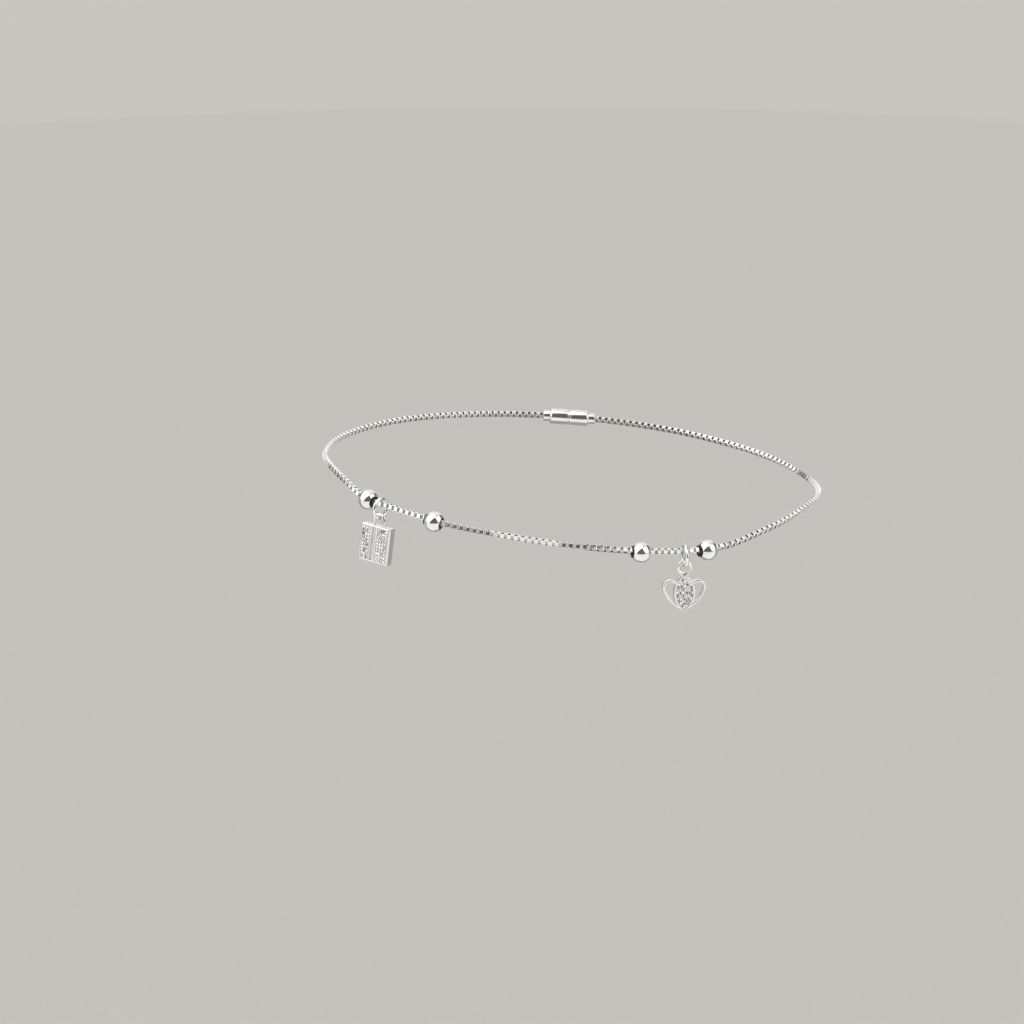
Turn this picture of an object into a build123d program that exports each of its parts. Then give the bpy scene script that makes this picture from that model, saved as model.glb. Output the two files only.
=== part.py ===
"""Charm anklet, modelled as it is worn: a fine box chain round the ankle, closed by a barrel clasp
at the back, with four stopper beads, a padlock charm and a heart charm on jump rings in front.

Millimetres. The origin is the centre of the hollow that the ankle fills. +Z runs up the leg,
-Y is the side with the charms and +X points at the heel.
"""

from build123d import *
import math
import os

# ------------------------------------------------------------------ driving dimensions

# Box chain
CHAIN_DIAMETER = 1.0
ARC_SHARE = 0.45  # share of the shorter run that a corner's arc takes up
ROUTE = [
    (-4.0, 31.5, 0.3),
    (-10.8, 30.8, 0.9),
    (-18.8, 28.5, 1.5),
    (-26.1, 25.1, 2.2),
    (-32.7, 20.5, 2.7),
    (-38.1, 14.5, 3.1),
    (-41.4, 7.7, 3.6),
    (-42.7, 1.1, 3.8),
    (-42.2, -5.0, 4.3),
    (-40.2, -10.4, 4.2),
    (-37.8, -14.5, 3.4),
    (-35.1, -17.8, 2.0),
    (-31.7, -21.1, 2.0),
    (-26.7, -24.7, 1.6),
    (-19.9, -28.1, 0.7),
    (-11.8, -30.5, 0.0),
    (-3.3, -31.7, -1.0),
    (5.2, -31.5, -2.0),
    (13.1, -30.2, -2.9),
    (19.9, -28.0, -3.5),
    (25.5, -25.4, -3.6),
    (30.3, -22.3, -2.5),
    (34.9, -18.2, -2.0),
    (39.2, -12.6, -1.4),
    (42.1, -5.5, -2.0),
    (42.6, 1.6, -2.9),
    (41.3, 8.1, -3.4),
    (38.0, 14.5, -3.1),
    (32.7, 20.5, -2.7),
    (26.1, 25.1, -2.2),
    (18.8, 28.5, -1.5),
    (10.8, 30.8, -0.9),
    (4.0, 31.5, -0.3),
]

# Stopper beads
BEAD_DIAMETER = 3.4
BEAD_HOLE_DIAMETER = 2.0
BEADS = [
    # (name, distance along the chain, drop below its centre line, core offset along it)
    ("1", 75.75, 0.05, 0.35),
    ("2", 89.5, 0.15, -0.3),
    ("3", 124.3, 0.2, -0.25),
    ("4", 135.95, 0.18, -0.35),
]

# Silicone cores inside the beads
CORE_DIAMETER = 1.92
CORE_LENGTH = 2.6
CORE_HOLE_DIAMETER = 1.5
CORE_EDGE_RADIUS = 0.1

# Jump rings
RING_OUTER_DIAMETER = 3.85
RING_WIRE = 0.6
RING_GAP = 0.03  # clearance between the ring and what it carries

# How each charm hangs: its ring's distance along the chain, then angles in degrees. The turns are
# about the vertical, away from the chain's own direction. The tilt stands its foot out from the
# leg, and the lean turns it in its own plane.
LOCK_HANG = {"distance": 78.75, "ring_turn": 2.7, "turn": 7.0, "tilt": 9.5, "lean": 1.2}
HEART_HANG = {"distance": 131.85, "ring_turn": -8.0, "turn": -10.0, "tilt": 6.0, "lean": 2.0}

# Padlock charm
LOCK_WIDTH = 5.9
LOCK_HEIGHT = 6.25
LOCK_THICKNESS = 1.7
LOCK_CORNER_RADIUS = 0.3
LOCK_EDGE_CHAMFER = 0.12
LOCK_SIDE_RIM = 0.35
LOCK_END_RIM = 0.28
LOCK_CHANNEL_WIDTH = 0.9
LOCK_CHANNEL_DEPTH = 0.3
LOCK_CHANNEL_SHIFT = -0.25
LOCK_INNER_RIM = 0.22
SHACKLE_WIRE = 0.6
SHACKLE_SPAN = 2.1  # between the centres of its legs
SHACKLE_RISE = 1.9  # from the top of the body to the centre of the bow
SHACKLE_ROOT = 0.4  # length of each leg inside the body

# Heart charm
HEART_HALF_WIDTH = 3.7
HEART_LOBE_RADIUS = 1.42
HEART_LOBE_HEIGHT = 0.8  # of the lobes' centres above the oval's centre
HEART_SIDE_BULGE = (2.6, -1.35)
HEART_BAND_WIDTH = 0.5
HEART_BAND_FRONT = 0.4
OVAL_HALF_WIDTH = 1.75
OVAL_HALF_HEIGHT = 3.06
OVAL_TIP_HALF_WIDTH = 0.55
OVAL_TIP_HEIGHT = 0.26
OVAL_RIM = 0.25
OVAL_FRONT = 0.6
HEART_BACK = 0.5
LOOP_OUTER_DIAMETER = 2.7
LOOP_WIRE = 0.6
LOOP_RISE = 5.2  # from the oval's centre to the centre of the loop's top

# Pave plates, the beds that the stones are set in
PAVE_DEPTH = 0.4
PAVE_THICKNESS = 0.3
PAVE_GAP = 0.05

# Barrel clasp
CLASP_DIAMETER = 2.8
CLASP_LENGTH = 7.0
CLASP_END_RADIUS = 0.8
CLASP_GROOVE_WIDTH = 0.3
CLASP_GROOVE_DEPTH = 0.15
COLLAR_DIAMETER = 2.0
COLLAR_REACH = 4.7  # from the middle of the clasp to the mouth of each collar
COLLAR_HOLE_DIAMETER = 1.4
COLLAR_HOLE_DEPTH = 0.85


# ------------------------------------------------------------------ chain

def corner_radii(points):
    """The largest arc that each inner corner's two runs allow."""
    radii = []
    for before, corner, after in zip(points, points[1:], points[2:]):
        run_in = Vector(*corner) - Vector(*before)
        run_out = Vector(*after) - Vector(*corner)
        half_turn = math.radians(run_in.get_angle(run_out)) / 2
        shorter = min(run_in.length, run_out.length)
        radii.append(ARC_SHARE * shorter / math.tan(half_turn))
    return radii


def chain_line():
    """The chain's centre line: straight runs joined by tangent arcs."""
    return FilletPolyline(*ROUTE, radius=corner_radii(ROUTE))


def box_chain(line):
    """The fine chain as one tube of the links' outer size."""
    section = Plane(origin=line @ 0, z_dir=line % 0) * Circle(CHAIN_DIAMETER / 2)
    return sweep(section, path=line)


def across_chain(line, distance, drop):
    """Plane square to the chain at a distance along it, its Z along the chain, hung by a drop."""
    point = line.position_at(distance, position_mode=PositionMode.LENGTH)
    direction = line.tangent_at(distance, position_mode=PositionMode.LENGTH)
    return Plane(origin=point - Vector(0, 0, drop), z_dir=direction)


def hanging_at(line, distance):
    """Upright plane on the chain: X along the chain, -Y away from the leg, Z up."""
    point = line.position_at(distance, position_mode=PositionMode.LENGTH)
    direction = line.tangent_at(distance, position_mode=PositionMode.LENGTH)
    level = Vector(direction.X, direction.Y, 0).normalized()
    return Plane(origin=point, x_dir=level, z_dir=(0, 0, 1))


# ------------------------------------------------------------------ beads

def bead():
    """Ball with a wide hole along Z."""
    hole = Cylinder(BEAD_HOLE_DIAMETER / 2, BEAD_DIAMETER)
    return Sphere(BEAD_DIAMETER / 2) - hole


def bead_core(offset):
    """Silicone tube inside a bead, moved along Z by its offset."""
    tube = Cylinder(CORE_DIAMETER / 2, CORE_LENGTH) - Cylinder(CORE_HOLE_DIAMETER / 2, CORE_LENGTH)
    ends = tube.faces().filter_by(Axis.Z)
    return Pos(0, 0, offset) * fillet(ends.edges(), CORE_EDGE_RADIUS)


# ------------------------------------------------------------------ jump rings

RING_INNER_RADIUS = RING_OUTER_DIAMETER / 2 - RING_WIRE
RING_DROP = RING_INNER_RADIUS - CHAIN_DIAMETER / 2 - RING_GAP


def jump_ring(line, hang):
    """Ring hung on the chain, its plane across the chain."""
    ring = Torus(RING_INNER_RADIUS + RING_WIRE / 2, RING_WIRE / 2)
    place = hanging_at(line, hang["distance"]) * Rot(0, 0, hang["ring_turn"]) * Rot(-hang["tilt"], 0, 0)
    return place * Pos(0, 0, -RING_DROP) * Rot(0, 90, 0) * ring


def carried_by_ring(line, hang, wire):
    """Where a charm hangs: its origin is the middle of the bow or loop that the ring carries."""
    drop = RING_DROP + RING_INNER_RADIUS - wire / 2 - RING_GAP
    place = hanging_at(line, hang["distance"]) * Rot(0, 0, hang["ring_turn"]) * Rot(-hang["tilt"], 0, 0)
    return place * Pos(0, 0, -drop) * Rot(0, 0, hang["turn"] - hang["ring_turn"]) * Rot(0, hang["lean"], 0)


# ------------------------------------------------------------------ padlock charm

LOCK_CENTRE = -(SHACKLE_RISE + LOCK_HEIGHT / 2)
LOCK_PAVE_HEIGHT = LOCK_HEIGHT - 2 * LOCK_END_RIM
LOCK_FRONT = -LOCK_THICKNESS / 2


def lock_pocket(side):
    """The width of the pocket on one side of the channel, and where its middle is along X."""
    inner = LOCK_CHANNEL_WIDTH / 2 + LOCK_INNER_RIM + side * LOCK_CHANNEL_SHIFT
    outer = LOCK_WIDTH / 2 - LOCK_SIDE_RIM
    return outer - inner, side * (inner + outer) / 2


def lock_charm():
    """Padlock with its shackle, one piece of metal; its origin is the middle of the shackle's bow."""
    body = Box(LOCK_WIDTH, LOCK_THICKNESS, LOCK_HEIGHT)
    body = fillet(body.edges().filter_by(Axis.Z), LOCK_CORNER_RADIUS)
    ends = body.faces().filter_by(Axis.Z)
    body = chamfer(ends.edges(), LOCK_EDGE_CHAMFER)
    for side in (-1, 1):
        width, centre = lock_pocket(side)
        body -= Pos(centre, LOCK_FRONT, 0) * Box(width, 2 * PAVE_DEPTH, LOCK_PAVE_HEIGHT)
    channel = Box(LOCK_CHANNEL_WIDTH, 2 * LOCK_CHANNEL_DEPTH, LOCK_PAVE_HEIGHT)
    body -= Pos(LOCK_CHANNEL_SHIFT, LOCK_FRONT, 0) * channel

    leg = SHACKLE_SPAN / 2
    root = -SHACKLE_RISE - SHACKLE_ROOT
    shackle_line = Wire(
        [
            Line((-leg, 0, root), (-leg, 0, -leg)),
            ThreePointArc((-leg, 0, -leg), (0, 0, 0), (leg, 0, -leg)),
            Line((leg, 0, -leg), (leg, 0, root)),
        ]
    )
    section = Plane(origin=(-leg, 0, root), z_dir=(0, 0, 1)) * Circle(SHACKLE_WIRE / 2)
    return Pos(0, 0, LOCK_CENTRE) * body + sweep(section, path=shackle_line)


def lock_pave(side):
    """The stones' bed in one half of the padlock's face."""
    width, centre = lock_pocket(side)
    plate = Box(width - 2 * PAVE_GAP, PAVE_THICKNESS, LOCK_PAVE_HEIGHT - 2 * PAVE_GAP)
    depth = LOCK_FRONT + PAVE_DEPTH - PAVE_GAP - PAVE_THICKNESS / 2
    return Pos(centre, depth, LOCK_CENTRE) * plate


# ------------------------------------------------------------------ heart charm

def oval_outline(inset):
    """Pointed oval with rounded tips in the XZ plane, as a face."""
    side = OVAL_HALF_WIDTH - inset
    tip = OVAL_TIP_HALF_WIDTH
    shoulder = OVAL_HALF_HEIGHT - OVAL_TIP_HEIGHT - inset
    top = OVAL_HALF_HEIGHT - inset
    return make_face(
        [
            ThreePointArc((tip, 0, -shoulder), (side, 0, 0), (tip, 0, shoulder)),
            ThreePointArc((tip, 0, shoulder), (0, 0, top), (-tip, 0, shoulder)),
            ThreePointArc((-tip, 0, shoulder), (-side, 0, 0), (-tip, 0, -shoulder)),
            ThreePointArc((-tip, 0, -shoulder), (0, 0, -top), (tip, 0, -shoulder)),
        ]
    )


def heart_outline(inset):
    """Heart of two lobes and two bulging sides in the XZ plane, as a face."""
    reach = HEART_HALF_WIDTH - inset
    lobe = HEART_LOBE_RADIUS - inset
    centre = HEART_HALF_WIDTH - HEART_LOBE_RADIUS
    height = HEART_LOBE_HEIGHT
    tip = -OVAL_HALF_HEIGHT + inset * math.sqrt(2)
    bulge_x = HEART_SIDE_BULGE[0] - inset * math.cos(math.pi / 4)
    bulge_z = HEART_SIDE_BULGE[1] + inset * math.sin(math.pi / 4)
    edges = []
    for side in (1, -1):
        edges += [
            ThreePointArc((0, 0, tip), (side * bulge_x, 0, bulge_z), (side * reach, 0, height)),
            ThreePointArc(
                (side * reach, 0, height),
                (side * centre, 0, height + lobe),
                (side * (centre - lobe), 0, height),
            ),
            Line((side * (centre - lobe), 0, height), (0, 0, height)),
        ]
    return make_face(edges)


def slab(face, front, back):
    """A face in the XZ plane given thickness, from y = -front to y = back."""
    return Pos(0, back, 0) * extrude(face, amount=front + back, dir=(0, -1, 0))


def heart_charm():
    """Open heart behind a pointed oval setting, with a hanging loop, soldered into one piece."""
    band = slab(heart_outline(0), HEART_BAND_FRONT, HEART_BACK)
    band -= slab(heart_outline(HEART_BAND_WIDTH), HEART_BAND_FRONT, HEART_BACK)
    setting = slab(oval_outline(0), OVAL_FRONT, HEART_BACK)
    pocket = slab(oval_outline(OVAL_RIM), OVAL_FRONT, PAVE_DEPTH - OVAL_FRONT)
    loop_radius = (LOOP_OUTER_DIAMETER - LOOP_WIRE) / 2
    loop = Rot(90, 0, 0) * Torus(loop_radius, LOOP_WIRE / 2)
    heart = Pos(0, 0, -LOOP_RISE) * (band + setting)
    return heart + Pos(0, 0, -loop_radius) * loop - Pos(0, 0, -LOOP_RISE) * pocket


def heart_pave():
    """The stones' bed inside the oval setting."""
    back = PAVE_DEPTH - PAVE_GAP - OVAL_FRONT
    front = PAVE_THICKNESS - back
    return Pos(0, 0, -LOOP_RISE) * slab(oval_outline(OVAL_RIM + PAVE_GAP), front, back)


# ------------------------------------------------------------------ clasp

def clasp(line):
    """Plain closed barrel across the gap between the chain's two ends."""
    start = line @ 0
    end = line @ 1
    place = Plane(origin=(start + end) / 2, z_dir=end - start)
    barrel = fillet(Cylinder(CLASP_DIAMETER / 2, CLASP_LENGTH).edges(), CLASP_END_RADIUS)
    groove = Cylinder(CLASP_DIAMETER / 2, CLASP_GROOVE_WIDTH)
    groove -= Cylinder(CLASP_DIAMETER / 2 - CLASP_GROOVE_DEPTH, CLASP_GROOVE_WIDTH)
    body = barrel - groove + Cylinder(COLLAR_DIAMETER / 2, 2 * COLLAR_REACH)
    for side in (-1, 1):
        mouth = side * (COLLAR_REACH - COLLAR_HOLE_DEPTH / 2)
        body -= Pos(0, 0, mouth) * Cylinder(COLLAR_HOLE_DIAMETER / 2, COLLAR_HOLE_DEPTH)
    return place * body


# ------------------------------------------------------------------ assembly

def anklet():
    """Every piece of the anklet by its name."""
    line = chain_line()
    lock_place = carried_by_ring(line, LOCK_HANG, SHACKLE_WIRE)
    heart_place = carried_by_ring(line, HEART_HANG, LOOP_WIRE)

    pieces = {
        "box_chain": box_chain(line),
        "clasp": clasp(line),
        "jump_ring_lock": jump_ring(line, LOCK_HANG),
        "jump_ring_heart": jump_ring(line, HEART_HANG),
        "lock_charm": lock_place * lock_charm(),
        "lock_pave_left": lock_place * lock_pave(-1),
        "lock_pave_right": lock_place * lock_pave(1),
        "heart_charm": heart_place * heart_charm(),
        "heart_pave": heart_place * heart_pave(),
    }
    for name, distance, drop, core_offset in BEADS:
        place = across_chain(line, distance, drop)
        pieces["bead_" + name] = place * bead()
        pieces["bead_core_" + name] = place * bead_core(core_offset)

    section = math.pi * (CHAIN_DIAMETER / 2) ** 2
    print("corner radii", [round(radius, 1) for radius in corner_radii(ROUTE)])
    print("chain length", round(line.length, 2))
    print("tube volume over section times length", pieces["box_chain"].volume / (section * line.length))
    return pieces


if __name__ == "__main__":
    os.makedirs("parts", exist_ok=True)
    for name, shape in anklet().items():
        export_step(shape, "parts/" + name + ".step")
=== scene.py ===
"""Charm anklet: the looks of a fine box chain with stopper beads, a padlock charm and a heart charm.

Every piece is built in millimetres in its own axes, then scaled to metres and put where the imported
model has its node. Charms face -Y in their own axes, with Z up and X along the chain.
"""

import math

import bmesh
import bpy
import numpy as np
from mathutils import Matrix, Vector


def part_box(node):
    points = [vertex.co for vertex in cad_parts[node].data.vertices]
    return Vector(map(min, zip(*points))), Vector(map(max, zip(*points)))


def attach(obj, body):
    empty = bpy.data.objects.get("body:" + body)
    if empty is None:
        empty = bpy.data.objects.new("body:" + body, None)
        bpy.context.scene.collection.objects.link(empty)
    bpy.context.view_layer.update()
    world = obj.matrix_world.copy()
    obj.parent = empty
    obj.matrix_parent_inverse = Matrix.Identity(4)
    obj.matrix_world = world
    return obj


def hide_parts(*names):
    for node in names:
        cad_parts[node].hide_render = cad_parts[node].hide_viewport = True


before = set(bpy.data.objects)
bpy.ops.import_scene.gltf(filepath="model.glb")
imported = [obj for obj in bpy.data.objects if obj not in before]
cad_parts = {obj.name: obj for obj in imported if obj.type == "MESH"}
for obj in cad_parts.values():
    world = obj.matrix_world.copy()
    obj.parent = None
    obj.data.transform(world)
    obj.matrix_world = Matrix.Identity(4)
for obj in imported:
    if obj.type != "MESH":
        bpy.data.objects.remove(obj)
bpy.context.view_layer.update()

MM = 0.001
FRONT = Vector((0, -1, 0))
UP = Vector((0, 0, 1))
ALONG = 0.99  # the cosine past which a direction counts as an axis's own
TINY = 1e-4  # millimetres between places that count as the same
ONE_POINT = 1e-3  # the same where arcs end, which is less exact

# ------------------------------------------------------------------ sizes, in millimetres

# The chain's route in metres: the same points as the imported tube's
CHAIN_ROUTE = [
    (-0.0040, 0.0315, 0.0003),
    (-0.0108, 0.0308, 0.0009),
    (-0.0188, 0.0285, 0.0015),
    (-0.0261, 0.0251, 0.0022),
    (-0.0327, 0.0205, 0.0027),
    (-0.0381, 0.0145, 0.0031),
    (-0.0414, 0.0077, 0.0036),
    (-0.0427, 0.0011, 0.0038),
    (-0.0422, -0.0050, 0.0043),
    (-0.0402, -0.0104, 0.0042),
    (-0.0378, -0.0145, 0.0034),
    (-0.0351, -0.0178, 0.0020),
    (-0.0317, -0.0211, 0.0020),
    (-0.0267, -0.0247, 0.0016),
    (-0.0199, -0.0281, 0.0007),
    (-0.0118, -0.0305, 0.0000),
    (-0.0033, -0.0317, -0.0010),
    (0.0052, -0.0315, -0.0020),
    (0.0131, -0.0302, -0.0029),
    (0.0199, -0.0280, -0.0035),
    (0.0255, -0.0254, -0.0036),
    (0.0303, -0.0223, -0.0025),
    (0.0349, -0.0182, -0.0020),
    (0.0392, -0.0126, -0.0014),
    (0.0421, -0.0055, -0.0020),
    (0.0426, 0.0016, -0.0029),
    (0.0413, 0.0081, -0.0034),
    (0.0380, 0.0145, -0.0031),
    (0.0327, 0.0205, -0.0027),
    (0.0261, 0.0251, -0.0022),
    (0.0188, 0.0285, -0.0015),
    (0.0108, 0.0308, -0.0009),
    (0.0040, 0.0315, -0.0003),
]

# Box links: square rings cut from a thin band, each turned a quarter against the next
LINK_LENGTH = 0.77
LINK_WIDTH = 0.92
LINK_BAND = 0.7
LINK_METAL = 0.1
LINK_CORNER = 0.1
LINK_EDGE = 0.05
LINK_PITCH = 0.563
# How the worn chain rolls: distance along it, and degrees that its outer faces are turned up
CHAIN_ROLL = [
    (0, 20), (60, 18), (74, 18), (77, 24), (89, 24), (92, 16), (98.5, 16), (101, 3), (110, 3),
    (112, 18), (114, 18), (116, 40), (123, 42), (126, 5), (131, 5), (134, 30), (142, 65), (175, 65),
    (200, 25), (227, 20),
]

# Beads and their cores
BEAD_LIP = 0.09
CORE_EDGE = 0.08
CORE_HOLE = 1.2

# Jump rings
RING_SLIT = 0.05
RING_SLIT_TURN = math.radians(200)
RING_END_EDGE = 0.04

# Padlock
LOCK_CORNER = 0.3
LOCK_EDGE = 0.13
LOCK_SIDE_RIM = 0.35
LOCK_END_RIM = 0.28
LOCK_CHANNEL = 0.9
LOCK_CHANNEL_DEPTH = 0.3
LOCK_CHANNEL_SHIFT = -0.25
LOCK_INNER_RIM = 0.22
LOCK_BAR = 0.6
LOCK_BAR_HEIGHT = 0.15
LOCK_RIM_EDGE = 0.05
POCKET_DEPTH = 0.4
POCKET_DRAFT = 0.01
PAVE_GAP = 0.05
SHACKLE_WIRE = 0.6
SHACKLE_SPAN = 2.1
SHACKLE_ROOT = 0.3
SOLDER_WIDTH = 0.09
SOLDER_HEIGHT = 0.12

# Heart
HEART_HALF_WIDTH = 3.7
HEART_LOBE_RADIUS = 1.42
HEART_LOBE_HEIGHT = 0.8
HEART_BULGE = (2.6, -1.35)
HEART_BAND = 0.5
HEART_BAND_FRONT = 0.4
HEART_ROUND = 0.19
HEART_BACK_EDGE = 0.1
OVAL_HALF_WIDTH = 1.75
OVAL_HALF_HEIGHT = 3.06
OVAL_TIP = (0.55, 2.8)
OVAL_RIM = 0.25
OVAL_FRONT = 0.6
OVAL_SPARE = 0.01
OVAL_EDGE = 0.05
HEART_BACK = 0.5
LOOP_WIRE = 0.6
LOOP_OUTER = 2.7

# A stone: how many sides it has, and its parts as shares of its width
STONE_SIDES = 8
STONE_TABLE = 0.64
STONE_CROWN = 0.19
STONE_GIRDLE = 0.03
STONE_PAVILION = 0.44

# How the stones sit in their charm, and the widths of stones and prongs
STONE_LEAN = math.radians(19)
STONE_PROUD = 0.04
PRONG_PROUD = 0.05
LOCK_STONE = 0.515
LOCK_PRONG = 0.2
HEART_STONE = 0.47
HEART_STONE_PITCH = 0.48
HEART_STONE_RINGS = 3
HEART_PRONG = 0.17

# The bed under them: a seat's mouth is a share of its stone's width, and its foot a share of its mouth
SEAT_MOUTH = 0.94
SEAT_FOOT = 0.35
SEAT_DEPTH = 0.26
BED_DEPTH = 0.1
BED_THICKNESS = 0.29
BED_GAP = 0.01

# Clasp
CLASP_END = 0.8
CLASP_GROOVE = 0.3
CLASP_GROOVE_DEPTH = 0.15
COLLAR_HOLE = 1.4
COLLAR_HOLE_DEPTH = 0.85
COLLAR_LIP = 0.1
COLLAR_RADIUS = 1.0
BARREL_LENGTH = 7.0


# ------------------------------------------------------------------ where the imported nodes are

def node_points(node):
    """A node's vertices as an array, in metres."""
    return np.array([vertex.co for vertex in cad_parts[node].data.vertices])


def own_axes(node):
    """A node's own directions: its longest, its middle one and its shortest."""
    points = np.unique(node_points(node).round(7), axis=0)
    _, _, directions = np.linalg.svd(points - points.mean(axis=0))
    return [Vector(direction) for direction in directions]


def node_centre(node):
    """The middle of a node's box, in metres."""
    low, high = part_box(node)
    return (low + high) / 2


def placed(centre, x, y, z):
    """Matrix from a piece's own millimetres to the row frame's metres."""
    turn = Matrix((x, y, z)).transposed().to_4x4()
    return Matrix.Translation(centre) @ turn @ Matrix.Scale(MM, 4)


def facing_place(plate):
    """Axes of a charm from its paved plate: Z up, Y towards the leg, X along the chain."""
    long_way, _, thin_way = own_axes(plate)
    centre = node_centre(plate)
    z = long_way if long_way.z > 0 else -long_way
    y = thin_way if thin_way.dot(centre) < 0 else -thin_way
    return placed(centre, y.cross(z), y, z)


def round_place(node, axis):
    """Axes of a piece that is round about its own axis, which becomes Z."""
    z = axis if axis.x > 0 else -axis
    x = UP.cross(z).normalized()
    return placed(node_centre(node), x, z.cross(x), z)


def size_in(node, place):
    """A node's lowest and highest corners in a piece's own millimetres."""
    back = np.array(place.inverted())
    points = node_points(node) @ back[:3, :3].T + back[:3, 3]
    return Vector(points.min(axis=0)), Vector(points.max(axis=0))


# ------------------------------------------------------------------ materials

# Two sets of polish scratches: how each is turned, and its noise's scales, low along the scratches
SCRATCHES = (
    ((0.3, 0.5, 0.2), (900.0, 14000.0, 14000.0)),
    ((1.2, 0.1, 0.9), (14000.0, 900.0, 14000.0)),
)
SCRATCH_WANDER = 0.0006


def add(tree, kind, *values, settings=None, **inputs):
    """A shader node; values fill its inputs in order, and a name's underscores stand for spaces."""
    made = tree.nodes.new("ShaderNode" + kind)
    for name, value in (settings or {}).items():
        setattr(made, name, value)
    sockets = list(zip(made.inputs, values))
    sockets += [(made.inputs[name.replace("_", " ")], value) for name, value in inputs.items()]
    for socket, value in sockets:
        if isinstance(value, bpy.types.NodeSocket):
            tree.links.new(value, socket)
        else:
            socket.default_value = value
    return made


def new_material(name):
    """An empty node material with its tree and its object coordinates."""
    material = bpy.data.materials.new(name)
    material.use_nodes = True
    tree = material.node_tree
    tree.nodes.clear()
    coordinates = add(tree, "TexCoord").outputs["Object"]
    return material, tree, coordinates


def finish_material(tree, shader):
    """The shader goes to the material's surface."""
    add(tree, "OutputMaterial", Surface=shader.outputs[0])


def spread(tree, value, low, high, start=0.3, end=0.7):
    """A noise's values from start to end, stretched over low to high."""
    return add(tree, "MapRange", value, start, end, low, high).outputs[0]


def silver(name, clean, dull, smooth, rough, scratch_depth):
    """Sterling silver: a soft mottle of polish, with fine scratches that run every way."""
    material, tree, coordinates = new_material(name)
    cloudy = add(tree, "TexNoise", Vector=coordinates, Scale=420.0, Detail=3.0, Roughness=0.6)
    mottle = spread(tree, cloudy.outputs["Fac"], 0.0, 1.0, start=0.45, end=0.75)
    colour = add(tree, "MixRGB", mottle, clean, dull)
    fine = add(tree, "TexNoise", Vector=coordinates, Scale=2600.0, Detail=4.0, Roughness=0.65)
    roughness = spread(tree, fine.outputs["Fac"], smooth, rough)

    warp = add(tree, "TexNoise", Vector=coordinates, Scale=700.0, Detail=1.0)
    bent = add(tree, "VectorMath", warp.outputs["Color"], (SCRATCH_WANDER,) * 3, coordinates,
               settings={"operation": "MULTIPLY_ADD"})
    heights = []
    for turn, stretch in SCRATCHES:
        laid = add(tree, "Mapping", bent.outputs[0], Rotation=turn, Scale=stretch)
        lines = add(tree, "TexNoise", Vector=laid.outputs[0], Scale=1.0, Detail=2.0)
        heights.append(spread(tree, lines.outputs["Fac"], 0.0, 1.0, start=0.55, end=0.75))
    scratches = add(tree, "Math", *heights, settings={"operation": "ADD"})
    bump = add(tree, "Bump", Height=scratches.outputs[0], Strength=0.5, Distance=scratch_depth)
    shader = add(tree, "BsdfPrincipled", Base_Color=colour.outputs[0], Metallic=1.0,
                 Roughness=roughness, Normal=bump.outputs[0])
    finish_material(tree, shader)
    return material


def polished_silver():
    """The bright metal of the beads, charms, rings and clasp."""
    return silver("polished_silver", (0.95, 0.945, 0.93, 1), (0.86, 0.855, 0.84, 1),
                  smooth=0.05, rough=0.13, scratch_depth=2e-7)


def chain_silver():
    """The links' outer metal, a little softer than polished."""
    return silver("chain_silver", (0.94, 0.935, 0.92, 1), (0.82, 0.81, 0.80, 1),
                  smooth=0.1, rough=0.22, scratch_depth=4e-7)


def painted_shade_seat_silver():
    """The metal round the stones and in the padlock's channel, darker as painted shade between the stones
    and on the channel's floor.
    """
    return silver("painted_shade_seat_silver", (0.65, 0.645, 0.635, 1), (0.5, 0.495, 0.485, 1),
                  smooth=0.1, rough=0.22, scratch_depth=6e-7)


def painted_shade_silver():
    """Silver inside the links: dull, and painted dark as shade with a little tarnish."""
    return silver("painted_shade_silver", (0.2, 0.19, 0.18, 1), (0.1, 0.095, 0.09, 1),
                  smooth=0.3, rough=0.5, scratch_depth=1e-6)


def silicone():
    """Black silicone with a fine matt skin."""
    material, tree, coordinates = new_material("black_silicone")
    grain = add(tree, "TexNoise", Vector=coordinates, Scale=9000.0, Detail=3.0)
    cloudy = add(tree, "TexNoise", Vector=coordinates, Scale=1500.0, Detail=2.0)
    colour = add(tree, "MixRGB", cloudy.outputs["Fac"], (0.008, 0.008, 0.009, 1), (0.022, 0.021, 0.021, 1))
    bump = add(tree, "Bump", Height=grain.outputs["Fac"], Strength=0.4, Distance=4e-6)
    shader = add(tree, "BsdfPrincipled", Base_Color=colour.outputs[0],
                 Roughness=spread(tree, grain.outputs["Fac"], 0.42, 0.62), Normal=bump.outputs[0])
    shader.inputs["Specular IOR Level"].default_value = 0.4
    finish_material(tree, shader)
    return material


def cut_stone():
    """Colourless foil-backed cut stone with a trace of polish marks on its facets."""
    material, tree, coordinates = new_material("cut_stone")
    marks = add(tree, "TexNoise", Vector=coordinates, Scale=5000.0, Detail=2.0)
    cloudy = add(tree, "TexNoise", Vector=coordinates, Scale=1300.0, Detail=1.0)
    colour = add(tree, "MixRGB", cloudy.outputs["Fac"], (1.0, 0.995, 0.985, 1), (0.96, 0.955, 0.95, 1))
    shader = add(tree, "BsdfPrincipled", Base_Color=colour.outputs[0], Metallic=0.85, IOR=2.15,
                 Roughness=spread(tree, marks.outputs["Fac"], 0.0, 0.04))
    shader.inputs["Transmission Weight"].default_value = 1.0
    finish_material(tree, shader)
    return material


def card_board(name, pale, dark):
    """Matt board."""
    material, tree, coordinates = new_material(name)
    grain = add(tree, "TexNoise", Vector=coordinates, Scale=300.0, Detail=3.0)
    colour = add(tree, "MixRGB", grain.outputs["Fac"], pale, dark)
    finish_material(tree, add(tree, "BsdfPrincipled", Base_Color=colour.outputs[0], Roughness=0.8))
    return material


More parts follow.
